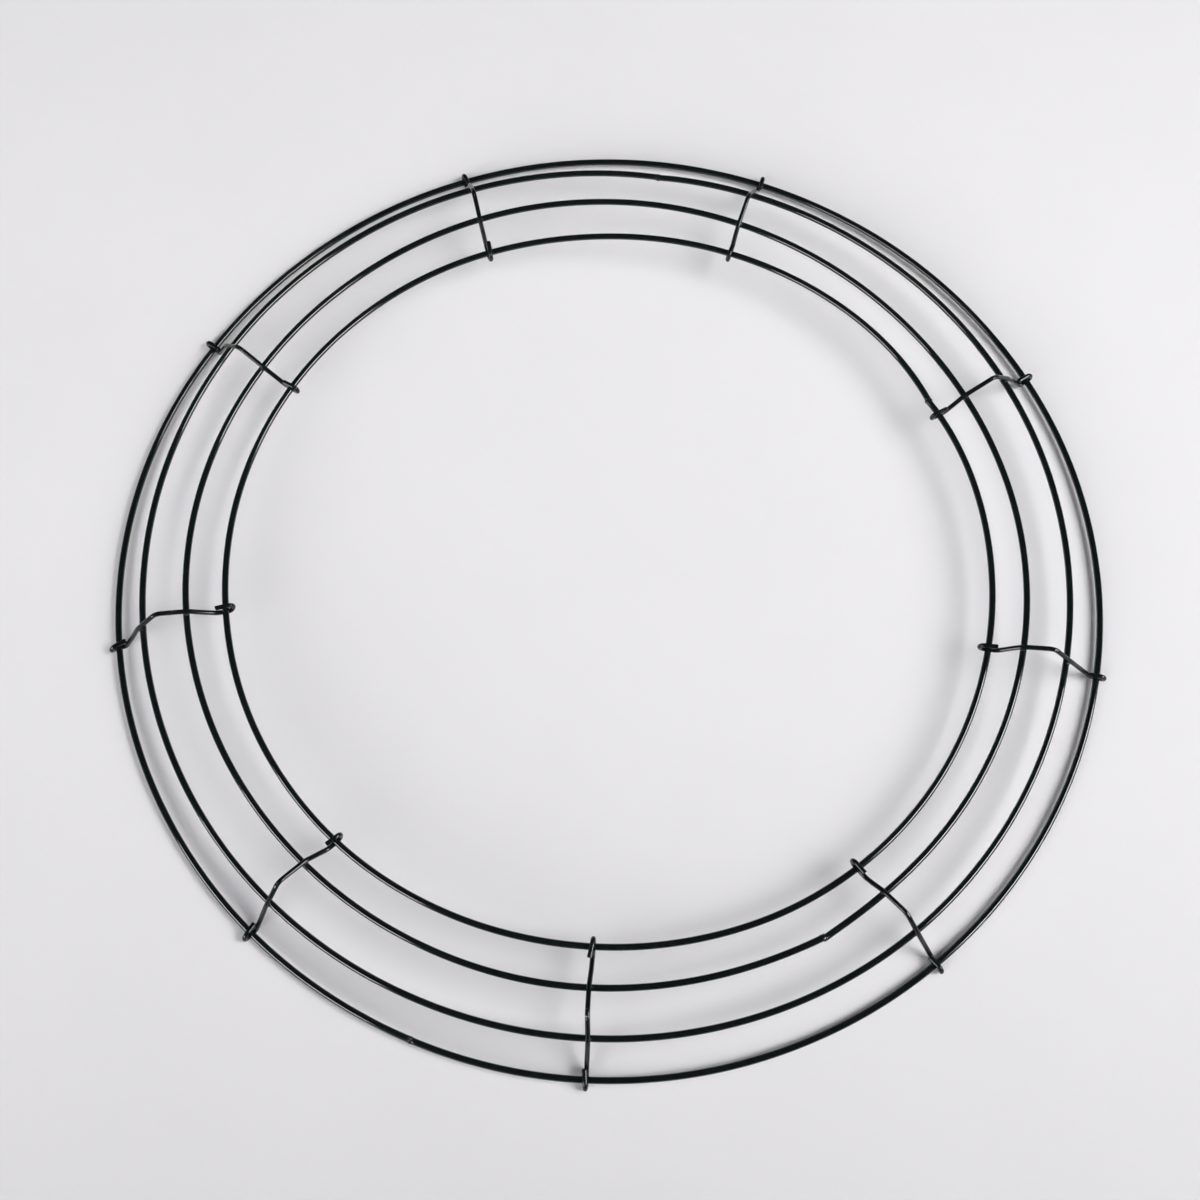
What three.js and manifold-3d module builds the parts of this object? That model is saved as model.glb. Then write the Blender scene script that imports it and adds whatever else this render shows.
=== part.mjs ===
// Wreath frame: four round wire rings carried on nine bent cross wires.
//
// Millimetres, +Z up. The origin is on the axis of the rings, at the height of the surface that
// the frame lies on. The widest ring is the lowest, and the narrower ones stand higher, so the
// band is a shallow dished ring. Each cross wire lies over the two middle rings, where it is
// welded, and passes under the outermost and the innermost ring, where its ends are hooked over.

import * as THREE from "three";
import { mergeVertices } from "three/addons/utils/BufferGeometryUtils.js";
import Module from "manifold-3d";

// ---- driving dimensions ----------------------------------------------------------------------

const FRAME_DIAMETER = 457.2;   // over the outermost ring: an 18 inch frame
const RING_WIRE = 3.0;          // thickness of the ring wire
const CROSS_WIRE = 2.2;         // thickness of the cross wires
const SEAT_GAP = 0.3;           // clearance between two wires that touch

// From each ring to the next one inside it, centre to centre, and its rise over the outermost.
const SECOND_RING = { inward: 15.1, rise: 13.7 };
const THIRD_RING = { inward: 20.6, rise: 18.2 };
const INNER_RING = { inward: 16.7, rise: 16.2 };

// Where each ring's two ends are butt welded, in degrees round the frame.
const JOINT_ANGLE = { outer: 250, second: 85, third: 300, inner: 31 };
const JOINT_BEAD = { length: 1.6, swell: 0.4 };   // swell is how far it stands proud of the wire

// Cross wires stand at an even pitch from FIRST_STATION. The jig leaves each one a little off:
// the degrees at the outermost ring, and the degrees at the innermost.
const CROSS_WIRES = 9;
const FIRST_STATION = -90;
const STATION_TRIM = [
  { outer: -0.7, inner: -0.4 },
  { outer: 0.1, inner: -0.6 },
  { outer: -0.2, inner: -1.0 },
  { outer: -0.8, inner: -1.5 },
  { outer: 1.9, inner: 2.0 },
  { outer: 0.2, inner: 1.4 },
  { outer: -0.2, inner: 0.6 },
  { outer: 0.4, inner: -1.0 },
  { outer: -1.5, inner: -0.8 },
];

// The bends of a cross wire, each the radius of its centre line.
const FOOT_LENGTH = 1.2;        // flat stretch under the outermost ring
const KNEE_RADIUS = 2.4;        // from the foot up into the leg
const SHOULDER = { inward: 8.8, crown: 10.1, radius: 8 };   // both from the second ring's centre
const SAG = { outward: 3.5, radius: 4 };                    // from the inner ring's centre
const HOOK_SLACK = 0.8;         // how much wider the inner hook is than its ring
const HOOK_SIDE = 1.2;          // how far a hook's returned end lies beside the main wire
const OUTER_TAIL = 2.5;         // straight end of the outer hook, past the top of its ring
const INNER_TAIL = 5.2;         // straight end of the inner hook, past the top of its loop
const TAIL_LIFT = 4;            // degrees that the ends stop short of lying parallel

const WELD = { along: 2.5, across: 2.5, thick: 1.7 };       // half sizes of a crossing weld

// How finely the round shapes are cut.
const WIRE_SIDES = 8;
const RING_STEPS = 96;
const BEND_STEP = 30;           // degrees of turn in one step of a cross wire's bend
const BEAD_SIDES = 12;
const LENS_SIDES = 8;

// ---- sizes that follow -----------------------------------------------------------------------

// A wire's flat sides keep the round wire's area of steel, and its feet stand on such a side.
const SIDE_ANGLE = Math.PI / WIRE_SIDES;
const cornerRadius = (thickness) =>
  (thickness / 2) * Math.sqrt((2 * SIDE_ANGLE) / Math.sin(2 * SIDE_ANGLE));
const FOOT_HEIGHT = cornerRadius(CROSS_WIRE) * Math.cos(SIDE_ANGLE);

// Centre to centre, where a cross wire lies against a ring.
const SEAT = RING_WIRE / 2 + SEAT_GAP + CROSS_WIRE / 2;

const outerRadius = (FRAME_DIAMETER - RING_WIRE) / 2;
const outerHeight = FOOT_HEIGHT + SEAT;
const secondRadius = outerRadius - SECOND_RING.inward;
const thirdRadius = secondRadius - THIRD_RING.inward;
const innerRadius = thirdRadius - INNER_RING.inward;
const RINGS = {
  outer: { radius: outerRadius, height: outerHeight },
  second: { radius: secondRadius, height: outerHeight + SECOND_RING.rise },
  third: { radius: thirdRadius, height: outerHeight + THIRD_RING.rise },
  inner: { radius: innerRadius, height: outerHeight + INNER_RING.rise },
};

const coatedRing = () =>
  new THREE.MeshStandardMaterial({ color: 0x131b1b, roughness: 0.38, metalness: 0.3 });
const coatedCross = () =>
  new THREE.MeshStandardMaterial({ color: 0x1b2423, roughness: 0.34, metalness: 0.3 });
const coatedWeld = () =>
  new THREE.MeshStandardMaterial({ color: 0x1a2322, roughness: 0.5, metalness: 0.25 });

// ---- wire ------------------------------------------------------------------------------------

/** The eight-sided section of a wire, with a flat side facing each way. */
function wireSection(thickness) {
  const radius = cornerRadius(thickness);
  const corners = [];
  for (let side = 0; side < WIRE_SIDES; side++) {
    const angle = (2 * side + 1) * SIDE_ANGLE;
    corners.push(new THREE.Vector2(radius * Math.cos(angle), radius * Math.sin(angle)));
  }
  return new THREE.Shape(corners);
}

/** The round centre line of a ring, from one side of its joint to the other. */
class RingPath extends THREE.Curve {
  constructor(radius, jointAngle, endGap) {
    super();
    // A ring cut into chords keeps its mean radius.
    this.radius = radius * (1 + (1 / Math.cos(Math.PI / RING_STEPS) - 1) / 2);
    this.start = THREE.MathUtils.degToRad(jointAngle) + endGap / radius;
    this.sweep = 2 * Math.PI - (2 * endGap) / radius;
  }

  getPoint(t, target = new THREE.Vector3()) {
    const angle = this.start + t * this.sweep;
    return target.set(this.radius * Math.cos(angle), this.radius * Math.sin(angle), 0);
  }
}

/** A bent wire's centre line: one step for each place in its run, all of them square to +Y. */
class BentPath extends THREE.Curve {
  constructor(places) {
    super();
    this.places = places;
  }

  getPoint(t, target = new THREE.Vector3()) {
    const at = t * (this.places.length - 1);
    const index = Math.min(Math.floor(at), this.places.length - 2);
    const from = this.places[index].point;
    return target.lerpVectors(from, this.places[index + 1].point, at - index);
  }

  getUtoTmapping(u) {
    return u;
  }

  computeFrenetFrames() {
    const tangents = this.places.map((place) => place.tangent);
    const normals = tangents.map(() => new THREE.Vector3(0, 1, 0));
    const binormals = tangents.map((tangent, i) => tangent.clone().cross(normals[i]));
    return { tangents, normals, binormals };
  }
}

function sweep(path, steps, thickness) {
  return new THREE.ExtrudeGeometry(wireSection(thickness), { steps, extrudePath: path });
}

// ---- the run of a cross wire -----------------------------------------------------------------

// A cross wire is drawn in the plane through the frame's axis, x outwards and z up, as a wire
// runs round pegs. It starts at the outer hook's end. A peg's turn is 1 to the left, -1 to the
// right, and headings are in radians from straight outwards.

const sideways = (heading) => ({ x: -Math.sin(heading), z: Math.cos(heading) });

/** The heading of the straight that leaves one peg and meets the next. */
function straightBetween(peg, next) {
  const dx = next.x - peg.x;
  const dz = next.z - peg.z;
  const swing = next.turn * next.radius - peg.turn * peg.radius;
  return Math.atan2(dz, dx) - Math.asin(swing / Math.hypot(dx, dz));
}

/** The places round one peg, from the heading that reaches it to the one that leaves it. */
function roundPeg(peg, reach, leave) {
  const whole = 2 * Math.PI;
  const turned = (((leave - reach) * peg.turn) % whole + whole) % whole;
  const steps = Math.max(1, Math.ceil(turned / THREE.MathUtils.degToRad(BEND_STEP) - 1e-6));
  const places = [];
  for (let step = 0; step <= steps; step++) {
    const heading = reach + (peg.turn * turned * step) / steps;
    const out = sideways(heading);
    places.push({
      x: peg.x - peg.turn * peg.radius * out.x,
      z: peg.z - peg.turn * peg.radius * out.z,
      heading,
      done: step / steps,
    });
  }
  return places;
}

function crossWireRun() {
  const { outer, second, third, inner } = RINGS;
  const pegs = [
    { x: outer.radius, z: outer.height, radius: SEAT, turn: -1 },
    {
      x: outer.radius - FOOT_LENGTH,
      z: outer.height - SEAT + KNEE_RADIUS,
      radius: KNEE_RADIUS,
      turn: -1,
    },
    { x: second.radius, z: second.height, radius: SEAT, turn: 1 },
    {
      x: second.radius - SHOULDER.inward,
      z: second.height + SHOULDER.crown - SHOULDER.radius,
      radius: SHOULDER.radius,
      turn: 1,
    },
    { x: third.radius, z: third.height, radius: SEAT, turn: 1 },
    {
      x: inner.radius + SAG.outward,
      z: inner.height - SEAT + SAG.radius,
      radius: SAG.radius,
      turn: -1,
    },
    { x: inner.radius - HOOK_SLACK, z: inner.height, radius: SEAT, turn: -1 },
  ];
  const lift = THREE.MathUtils.degToRad(TAIL_LIFT);
  const headings = [-lift];
  for (let i = 0; i + 1 < pegs.length; i++) {
    headings.push(straightBetween(pegs[i], pegs[i + 1]));
  }
  headings.push(lift);

  const bends = pegs.map((peg, i) => roundPeg(peg, headings[i], headings[i + 1]));
  const outerHook = bends[0].map((place) => ({ ...place, side: HOOK_SIDE * (1 - place.done) }));
  const innerHook = bends.at(-1).map((place) => ({ ...place, side: HOOK_SIDE * place.done }));
  const middle = bends.slice(1, -1).flat().map((place) => ({ ...place, side: 0 }));
  const start = tail(outerHook[0], -OUTER_TAIL);
  const end = tail(innerHook.at(-1), INNER_TAIL);
  return [start, ...outerHook, ...middle, ...innerHook, end];
}

/** A hook's free end, straight on from its bend. A negative length goes backwards. */
function tail(place, length) {
  return {
    ...place,
    x: place.x + length * Math.cos(place.heading),
    z: place.z + length * Math.sin(place.heading),
  };
}

/** How far a wire that stands askew has moved sideways at the distance x from the axis. */
function askew(trim, x) {
  const across = (outerRadius - x) / (outerRadius - innerRadius);
  return x * Math.sin(THREE.MathUtils.degToRad((trim.inner - trim.outer) * across));
}

const RUN = crossWireRun();

/** One cross wire's path, in a frame that is turned to the place of its outer end. */
function crossPath(trim) {
  const places = RUN.map((place) => ({
    point: new THREE.Vector3(place.x, askew(trim, place.x) - place.side, place.z),
    tangent: new THREE.Vector3(Math.cos(place.heading), 0, Math.sin(place.heading)),
  }));
  return new BentPath(places);
}

const crossWireSolid = (trim, thickness) => sweep(crossPath(trim), RUN.length - 1, thickness);

// ---- welds -----------------------------------------------------------------------------------

const wasm = await Module();
wasm.setup();

function toManifold(geometry) {
  const bare = geometry.clone();
  bare.deleteAttribute("normal");
  bare.deleteAttribute("uv");
  const merged = mergeVertices(bare, 1e-5);
  return new wasm.Manifold(new wasm.Mesh({
    numProp: 3,
    vertProperties: new Float32Array(merged.attributes.position.array),
    triVerts: new Uint32Array(merged.index.array),
  }));
}

function toGeometry(manifold) {
  const { vertProperties, triVerts } = manifold.getMesh();
  const geometry = new THREE.BufferGeometry();
  geometry.setAttribute("position", new THREE.BufferAttribute(vertProperties, 3));
  geometry.setIndex(new THREE.BufferAttribute(triVerts, 1));
  geometry.computeVertexNormals();
  return geometry;
}

/** Where a cross wire lies on a middle ring: the wire's heading half way round that bend. */
function seatHeading(ring) {
  const near = RUN.filter(
    (place) => Math.hypot(place.x - ring.radius, place.z - ring.height) < SEAT + 1e-3);
  return (near[0].heading + near.at(-1).heading) / 2;
}

/** The metal squeezed out round a crossing, a lens cut by both wires and their clearance. */
function crossWeldSolid(ring, trim) {
  const heading = seatHeading(ring);
  const out = sideways(heading);
  const middle = -(RING_WIRE / 2 + SEAT_GAP / 2);
  const lens = new THREE.SphereGeometry(1, LENS_SIDES, LENS_SIDES / 2);
  lens.scale(WELD.along, WELD.across, WELD.thick);
  lens.rotateY(-heading);
  lens.translate(ring.radius + middle * out.x, askew(trim, ring.radius),
    ring.height + middle * out.z);

  const clear = 2 * SEAT_GAP;
  const ringCut = sweep(new RingPath(ring.radius, 180, 0), RING_STEPS, RING_WIRE + clear);
  ringCut.translate(0, 0, ring.height);
  return toGeometry(toManifold(lens)
    .subtract(toManifold(ringCut))
    .subtract(toManifold(crossWireSolid(trim, CROSS_WIRE + clear))));
}

/** The upset bead between the two ends of a ring, turned about the wire's own line. */
function jointBeadSolid() {
  const half = JOINT_BEAD.length / 2;
  const wire = RING_WIRE / 2;
  const outline = [
    new THREE.Vector2(0, -half),
    new THREE.Vector2(wire, -half),
    new THREE.Vector2(wire + JOINT_BEAD.swell, 0),
    new THREE.Vector2(wire, half),
    new THREE.Vector2(0, half),
  ];
  return new THREE.LatheGeometry(outline, BEAD_SIDES);
}

// ---- the frame -------------------------------------------------------------------------------

const frame = new THREE.Group();

function addMesh(name, geometry, material, parent = frame) {
  const mesh = new THREE.Mesh(geometry, material);
  mesh.name = name;
  parent.add(mesh);
  return mesh;
}

for (const [name, ring] of Object.entries(RINGS)) {
  const endGap = JOINT_BEAD.length / 2 + SEAT_GAP;
  const path = new RingPath(ring.radius, JOINT_ANGLE[name], endGap);
  const wire = addMesh(`ring_${name}`, sweep(path, RING_STEPS, RING_WIRE), coatedRing());
  wire.position.z = ring.height;

  const joint = new THREE.Group();
  joint.rotation.z = THREE.MathUtils.degToRad(JOINT_ANGLE[name]);
  frame.add(joint);
  const bead = addMesh(`ring_joint_${name}`, jointBeadSolid(), coatedWeld(), joint);
  bead.position.set(ring.radius, 0, ring.height);
}

for (let index = 0; index < CROSS_WIRES; index++) {
  const trim = STATION_TRIM[index] ?? { outer: 0, inner: 0 };
  const angle = FIRST_STATION + (index * 360) / CROSS_WIRES + trim.outer;
  const station = new THREE.Group();
  station.rotation.z = THREE.MathUtils.degToRad(angle);
  frame.add(station);

  const number = index + 1;
  addMesh(`cross_wire_${number}`, crossWireSolid(trim, CROSS_WIRE), coatedCross(), station);
  for (const name of ["second", "third"]) {
    addMesh(`weld_${name}_${number}`, crossWeldSolid(RINGS[name], trim), coatedWeld(), station);
  }
}

export default frame;
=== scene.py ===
"""Wreath frame: four wire rings carried on nine bent cross wires, dipped in a dark green coat.

Metres, +Z up, in the frame's own coordinates. The rings' sizes, the wires' thickness and where the
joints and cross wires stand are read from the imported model, and how each wire is bent is given here.
The coated wires touch, so the small clearance that the model keeps between them is closed up.
"""

import math

import bmesh
import bpy
from mathutils import Matrix, Vector, noise


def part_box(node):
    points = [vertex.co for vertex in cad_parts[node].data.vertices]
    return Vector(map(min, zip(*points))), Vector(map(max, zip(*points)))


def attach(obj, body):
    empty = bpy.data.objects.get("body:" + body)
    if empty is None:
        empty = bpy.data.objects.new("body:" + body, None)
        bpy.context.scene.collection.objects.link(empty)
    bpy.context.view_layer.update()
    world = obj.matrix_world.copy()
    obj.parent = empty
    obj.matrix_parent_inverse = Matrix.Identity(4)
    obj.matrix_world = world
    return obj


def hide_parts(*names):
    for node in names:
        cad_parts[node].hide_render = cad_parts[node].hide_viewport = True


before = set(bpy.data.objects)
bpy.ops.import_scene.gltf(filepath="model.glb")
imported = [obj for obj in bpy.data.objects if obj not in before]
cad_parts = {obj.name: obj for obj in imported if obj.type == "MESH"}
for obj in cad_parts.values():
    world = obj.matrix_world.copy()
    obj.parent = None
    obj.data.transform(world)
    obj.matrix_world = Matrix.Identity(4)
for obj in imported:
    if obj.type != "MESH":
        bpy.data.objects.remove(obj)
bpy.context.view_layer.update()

bl_info = {
    "name": "Wreath frame",
    "version": (1, 0, 0),
    "blender": (4, 5, 0),
    "location": "View3D > Sidebar > Wreath",
    "description": "Makes a coated wire wreath frame piece by piece",
    "category": "Add Mesh",
}

MM = 0.001

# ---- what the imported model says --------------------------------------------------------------

RINGS = ("outer", "second", "third", "inner")
WELDED_RINGS = ("second", "third")
CROSS_WIRES = sorted(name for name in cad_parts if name.startswith("cross_wire_"))

CLEARANCE = 0.3 * MM        # kept in the model between two wires that touch
# Across the flats of the model's eight-sided wire, as a share of the round wire's thickness.
FLATS = math.sqrt(math.pi / 4 / math.sin(math.pi / 4)) * math.cos(math.pi / 8)
FLAT_DEPTH = 0.1 * MM       # corners of a flat underside all lie within this of the lowest one
HOOK_REGION = 8 * MM        # a cross wire's inner end lies further than this inside the third ring


def model_ring(name):
    """A ring's radius, height and wire thickness in the model."""
    radii = [v.co.xy.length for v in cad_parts[f"ring_{name}"].data.vertices]
    low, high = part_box(f"ring_{name}")
    return {
        "radius": (min(radii) + max(radii)) / 2,
        "height": (low.z + high.z) / 2,
        "wire": (high.z - low.z) / FLATS,
    }


MODEL_RINGS = {name: model_ring(name) for name in RINGS}
RING_WIRE = MODEL_RINGS["outer"]["wire"]
CROSS_WIRE = 2 * (MODEL_RINGS["outer"]["height"] - RING_WIRE / 2 - CLEARANCE) / (1 + FLATS)


def azimuth(points):
    """The angle round the frame of the middle of some points."""
    middle = sum(points, Vector()) / len(points)
    return math.atan2(middle.y, middle.x)


def model_joint(name):
    """The angle round the frame where a ring's ends are welded."""
    low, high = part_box(f"ring_joint_{name}")
    return azimuth([(low + high) / 2])


def model_station(name):
    """Where a cross wire stands: its angle at the outer ring's foot and under the inner ring."""
    points = [v.co.copy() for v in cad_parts[name].data.vertices]
    foot = [p for p in points if p.z < FLAT_DEPTH]
    hook = [p for p in points if p.xy.length < MODEL_RINGS["third"]["radius"] - HOOK_REGION]
    lowest = min(p.z for p in hook)
    return azimuth(foot), azimuth([p for p in hook if p.z < lowest + FLAT_DEPTH])


RING_JOINT_ANGLES = {name: model_joint(name) for name in RINGS}


# ---- how this frame came off the jig ---------------------------------------------------------

# How far each ring lies off true, in millimetres and degrees: the whole ring to one side, its
# oval, three lobes and four slight flats, each with the heading where it is widest. Spread is
# over the whole ring, and kink is at its joint, where the ends were never quite bent round.
RING_LIE = {
    "outer": {"aside": (1.2, -3), "oval": (0.35, 50), "lobes": (0.0, 0), "flats": (0.2, 5),
              "spread": -0.1, "kink": 0.0},
    "second": {"aside": (0.4, 155), "oval": (0.1, 75), "lobes": (0.2, 40), "flats": (0.3, 35),
               "spread": 0.0, "kink": -1.1},
    "third": {"aside": (0.75, 180), "oval": (0.6, -60), "lobes": (0.25, -30), "flats": (0.4, 0),
              "spread": -0.35, "kink": 2.0},
    "inner": {"aside": (0.75, 0), "oval": (0.5, 5), "lobes": (0.35, 55), "flats": (0.55, 45),
              "spread": 0.2, "kink": -2.4},
}
KINK_REACH = math.radians(8)    # how far round a ring its kink dies away
RING_WANDER = 3.0               # how quickly a ring wanders off its line as it goes round

# How badly each ring's two ends meet, in millimetres: aside is across the wire, in the ring's
# own plane, and the weld's flash has been snipped on the sides listed, in degrees round the wire.
RING_JOINTS = {
    "outer": {"aside": 0.12, "swell": 0.30, "snipped": (200,)},
    "second": {"aside": 0.20, "swell": 0.34, "snipped": (250,)},
    "third": {"aside": 0.46, "swell": 0.26, "snipped": (20,)},
    "inner": {"aside": 0.34, "swell": 0.42, "snipped": (60, 130)},
}
END_SPRING = 7 * MM             # how far along a ring its ends' sideways step dies away
JOINT_GAP = 0.25 * MM           # between a ring's end and the middle of its joint, inside the bead

# How each cross wire was bent, in millimetres sideways, to the left as seen from the middle. Lean
# is its shoulder's, foot is its foot's and bow is its leg's. Each end is a loop round a ring: tip
# and end say how far its far point and its cut end lie off the wire's own line, tail is how far
# the cut end reaches past the ring's middle, slack is the loop's spare room, and lift is how many
# degrees the end stops short of lying flat.
BENT = (
    {"lean": -0.8, "foot": 0.3, "bow": 0.0,
     "outer": {"lift": 4, "tip": -0.2, "end": -1.0, "tail": 4.5, "slack": 1.2},
     "inner": {"lift": 4, "tip": -0.2, "end": -1.25, "tail": 5.6, "slack": 0.9}},
    {"lean": 0.2, "foot": 1.7, "bow": 0.0,
     "outer": {"lift": -4, "tip": -1.35, "end": -1.45, "tail": 3.8, "slack": 1.4},
     "inner": {"lift": 4, "tip": 0.0, "end": -0.3, "tail": 4.1, "slack": 1.2}},
    {"lean": 1.2, "foot": 1.2, "bow": 0.2,
     "outer": {"lift": 2, "tip": -1.0, "end": -1.3, "tail": 4.0, "slack": 1.0},
     "inner": {"lift": 4, "tip": -0.2, "end": -0.3, "tail": 3.9, "slack": 1.4}},
    {"lean": 0.3, "foot": -0.4, "bow": -1.4,
     "outer": {"lift": 4, "tip": 0.4, "end": 1.1, "tail": 5.0, "slack": 0.6},
     "inner": {"lift": 0, "tip": -0.5, "end": -1.0, "tail": 4.2, "slack": 1.0}},
    {"lean": 0.6, "foot": 0.8, "bow": 0.0,
     "outer": {"lift": 4, "tip": -0.7, "end": -1.4, "tail": 3.8, "slack": 1.1},
     "inner": {"lift": 4, "tip": -0.2, "end": -0.5, "tail": 4.2, "slack": 0.7}},
    {"lean": 0.0, "foot": 0.0, "bow": 0.0,
     "outer": {"lift": 4, "tip": 0.2, "end": -0.8, "tail": 3.5, "slack": 0.8},
     "inner": {"lift": 4, "tip": -0.3, "end": -1.0, "tail": 4.5, "slack": 0.8}},
    {"lean": 0.9, "foot": -0.6, "bow": 0.9,
     "outer": {"lift": 0, "tip": 0.4, "end": 0.3, "tail": 3.8, "slack": 1.5},
     "inner": {"lift": 4, "tip": 0.5, "end": 1.3, "tail": 4.1, "slack": 0.8}},
    {"lean": -1.1, "foot": 0.0, "bow": 0.0,
     "outer": {"lift": -6, "tip": 1.9, "end": -0.9, "tail": 3.3, "slack": 1.0},
     "inner": {"lift": 4, "tip": -0.9, "end": -0.1, "tail": 4.4, "slack": 1.0}},
    {"lean": -1.5, "foot": 0.5, "bow": 0.0,
     "outer": {"lift": -5, "tip": 0.2, "end": -1.35, "tail": 3.7, "slack": 1.2},
     "inner": {"lift": 4, "tip": -0.4, "end": -0.65, "tail": 4.2, "slack": 0.9}},
)
LINE_STEP = 0.35 * MM           # between the points of a cross wire's line
EASING = 8                      # passes that ease the start and end of each bend
# A cross wire is held true near its feet, and is free to wander between these distances and on.
FREE_FROM_FOOT = (3 * MM, 7 * MM)
FREE_FROM_INNER_HOOK = (5 * MM, 10 * MM)
DRIFT_QUICKNESS = 70            # how quickly it wanders there
CROSS_DRIFT = 1.6               # how much further it wanders than a ring does

# ---- where the coat is strained --------------------------------------------------------------

WELD_HEAT = 3 * MM              # reach of the strain beside a ring's joint
CUT_REACH = 0.8 * MM            # reach of the strain at a cut end
BEND_WINDOW = 3                 # points to each side over which a bend is measured
TIGHT_BEND = 3 * MM             # radius of a bend that strains the coat fully
SHOULDER_ABOVE = 20 * MM        # the shoulder is the part of a cross wire that is higher than this
TOOL_MARKS = (-1.3 * MM, 1.5 * MM)    # where the bending tool pressed, along from the shoulder
TOOL_MARK_REACH = 0.55 * MM


def length(name, description, default):
    """A length property, in metres."""
    return bpy.props.FloatProperty(
        name=name, description=description, default=default, min=0.0, precision=5,
        unit="LENGTH", subtype="DISTANCE")


def share(name, description, default):
    """A property from nought to one."""
    return bpy.props.FloatProperty(
        name=name, description=description, default=default, min=0.0, max=1.0, subtype="FACTOR")


def colour(name, description, default):
    """A colour property."""
    return bpy.props.FloatVectorProperty(
        name=name, description=description, default=default, size=3, min=0.0, max=1.0,
        subtype="COLOR")


def power(name, description, default):
    """A lamp's power property, in watts."""
    return bpy.props.FloatProperty(
        name=name, description=description, default=default, min=0.0, unit="POWER")


class WreathWireSizes(bpy.types.PropertyGroup):
    """Sizes of the wires and of their bends."""

    ring_wire: length("Ring wire", "Thickness of the ring wire over its coat", RING_WIRE)
    cross_wire: length("Cross wire", "Thickness of the cross wires over their coat", CROSS_WIRE)
    set_down: length("Set down", "How far a weld sinks a cross wire into its ring", 0.15 * MM)
    foot: length("Foot", "Flat stretch of a cross wire under the outer ring", 1.2 * MM)
    knee: length("Knee radius", "Bend from the foot up into the leg", 2.4 * MM)
    crown: length("Crown", "Height of the shoulder over the second ring", 10.6 * MM)
    shoulder: length("Shoulder radius", "Bend at the top of the leg", 4.0 * MM)
    shoulder_in: length("Shoulder place", "Distance inwards from the second ring", 8.8 * MM)
    sag: length("Sag radius", "Bend before the inner ring", 4.0 * MM)
    sag_out: length("Sag place", "Distance outwards from the inner ring", 3.5 * MM)
    press_depth: length("Press mark", "Depth of the bending tool's marks", 0.12 * MM)
    wander: length("Wander", "How far a wire wanders off its line", 0.15 * MM)
    sides: bpy.props.IntProperty(
        name="Wire sides", description="Faces round a wire", default=20, min=8)


class WreathWeldSizes(bpy.types.PropertyGroup):
    """Sizes of the welds."""

    bead: length("Bead length", "Length of the bead where a ring's ends meet", 1.5 * MM)
    collar_ring: length("Collar on the ring", "Reach of a crossing weld along the ring", 1.9 * MM)
    collar_cross: length("Collar on the wire", "Reach along the cross wire", 2.1 * MM)
    lumps: length("Lumps", "Unevenness of the welded metal", 0.10 * MM)


class WreathCoat(bpy.types.PropertyGroup):
    """Colours and gloss of the coat."""

    ring: colour("Ring coat", "Coat on the rings", (0.0034, 0.0056, 0.0053))
    cross: colour("Cross wire coat", "Coat on the cross wires", (0.0032, 0.0052, 0.0048))
    weld: colour("Weld coat", "Coat pooled on the welds", (0.0036, 0.0060, 0.0056))
    thin: colour("Thin coat", "Where the coat is thinnest", (0.0110, 0.0170, 0.0155))
    steel: colour("Steel", "Bare wire under a rubbed coat", (0.30, 0.29, 0.27))
    rub: share("Rub", "How much of the coat is rubbed at bends and ends", 0.45)
    ripple: share("Ripple", "Strength of the coat's fine surface ripple", 0.3)


class WreathStudio(bpy.types.PropertyGroup):
    """The floor and the lamps."""

    floor: colour("Floor", "Colour of the floor", (0.800, 0.788, 0.808))
    surround: colour("Surround", "Light from the room", (0.040, 0.040, 0.042))
    left: power("Left lamp", "Softbox at the front left", 14.8)
    right: power("Right lamp", "Softbox at the right", 8.0)
    left_glint: power("Left glint", "Strip at the front left that shows in the coat", 31.0)
    right_glint: power("Right glint", "Strip at the right that shows in the coat", 50.0)
    overhead: power("Overhead lamp", "Broad weak light from above", 1.0)


# ---- line of a ring --------------------------------------------------------------------------


def settled(wires):
    """How far the rings come down when the outer one lies on its cross wires' feet."""
    rest = wires.cross_wire + wires.ring_wire / 2
    return MODEL_RINGS["outer"]["height"] - rest


def ring_at(name, angle, wires):
    """A ring's radius and height at an angle round the frame."""
    lie = RING_LIE[name]
    radius = MODEL_RINGS[name]["radius"] + lie["spread"] * MM
    for count, part in ((1, "aside"), (2, "oval"), (3, "lobes"), (4, "flats")):
        swing, widest = lie[part]
        radius += swing * MM * math.cos(count * (angle - math.radians(widest)))
    from_joint = abs(math.remainder(angle - RING_JOINT_ANGLES[name], 2 * math.pi))
    radius += lie["kink"] * MM * math.exp(-from_joint / KINK_REACH)
    place = Vector((math.cos(angle), math.sin(angle), RINGS.index(name))) * RING_WANDER
    radius += wires.wander * noise.noise(place)
    return radius, MODEL_RINGS[name]["height"] - settled(wires)


def ring_point(name, angle, wires):
    """A point on a ring's line."""
    radius, height = ring_at(name, angle, wires)
    return Vector((radius * math.cos(angle), radius * math.sin(angle), height))


def across_joint(name, along):
    """How far a ring's end stands aside of its true line near the joint. Along is from the joint."""
    aside = RING_JOINTS[name]["aside"] * MM / 2
    return math.copysign(aside, along) * math.exp(-abs(along) / END_SPRING)


# ---- tube along a wire -----------------------------------------------------------------------


def tangents(points):
    """The direction of a line at each of its points."""
    found = []
    for i in range(len(points)):
        step = points[min(i + 1, len(points) - 1)] - points[max(i - 1, 0)]
        found.append(step.normalized())
    return found


def runs(points):
    """The length of a line up to each of its points."""
    run = [0.0]
    for a, b in zip(points, points[1:]):
        run.append(run[-1] + (b - a).length)
    return run


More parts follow.
